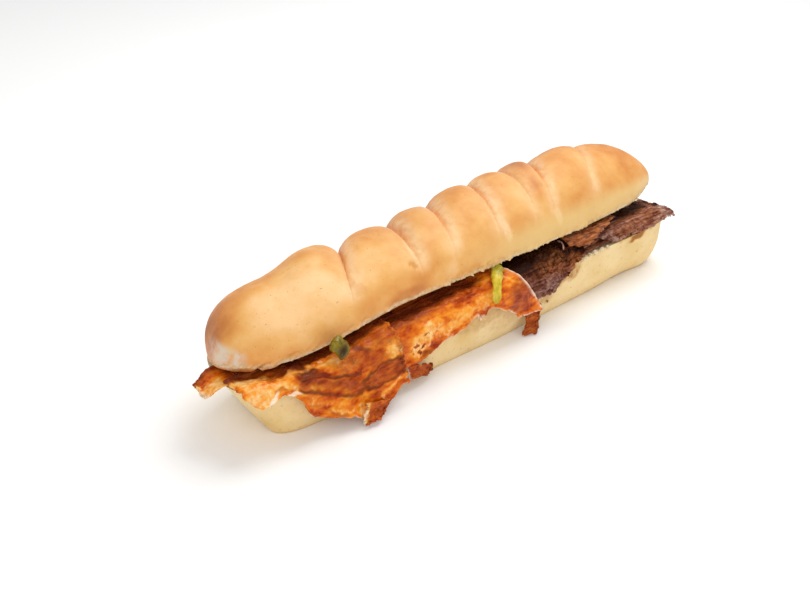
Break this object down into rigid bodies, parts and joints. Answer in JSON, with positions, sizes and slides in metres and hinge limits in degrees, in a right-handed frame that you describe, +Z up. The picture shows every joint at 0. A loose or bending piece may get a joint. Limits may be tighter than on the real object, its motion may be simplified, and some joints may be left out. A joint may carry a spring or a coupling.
{
  "type": "shawarma sandwich",
  "caption": "Long lobed sandwich roll cut through lengthwise and filled with thin slices of roast turkey and beef that hang out at the front, with pieces of pickled chilli.",
  "frame": {"origin": "middle of the flat underside of the lower half of the roll", "axes": "+X along the roll from the turkey end to the beef end, +Y towards the plain back, so that the filled open front faces -Y, +Z up"},
  "size_m": [0.3104, 0.0777, 0.0766],
  "materials": {
    "bread_base": "matt pale baked crust",
    "bread_crust": "golden baked crust, low sheen",
    "roast_turkey": "moist, spiced orange-brown",
    "roast_beef": "moist dark brown",
    "sinew": "pale, moist",
    "chilli": "wet, glossy"
  },
  "bodies": {
    "root": {"roll_base": "bread_base", "roll_lid": "bread_crust", "turkey_pile": "roast_turkey", "turkey_front": "roast_turkey", "turkey_middle": "roast_turkey", "turkey_tip": "roast_turkey", "turkey_flap": "roast_turkey", "turkey_scrap": "roast_turkey", "beef_pile": "roast_beef", "beef_front": "roast_beef", "beef_end": "roast_beef", "beef_curl": "roast_beef", "beef_strip": "roast_beef", "sinew": "sinew", "chilli_left": "chilli", "chilli_right": "chilli"}
  },
  "joints": []
}
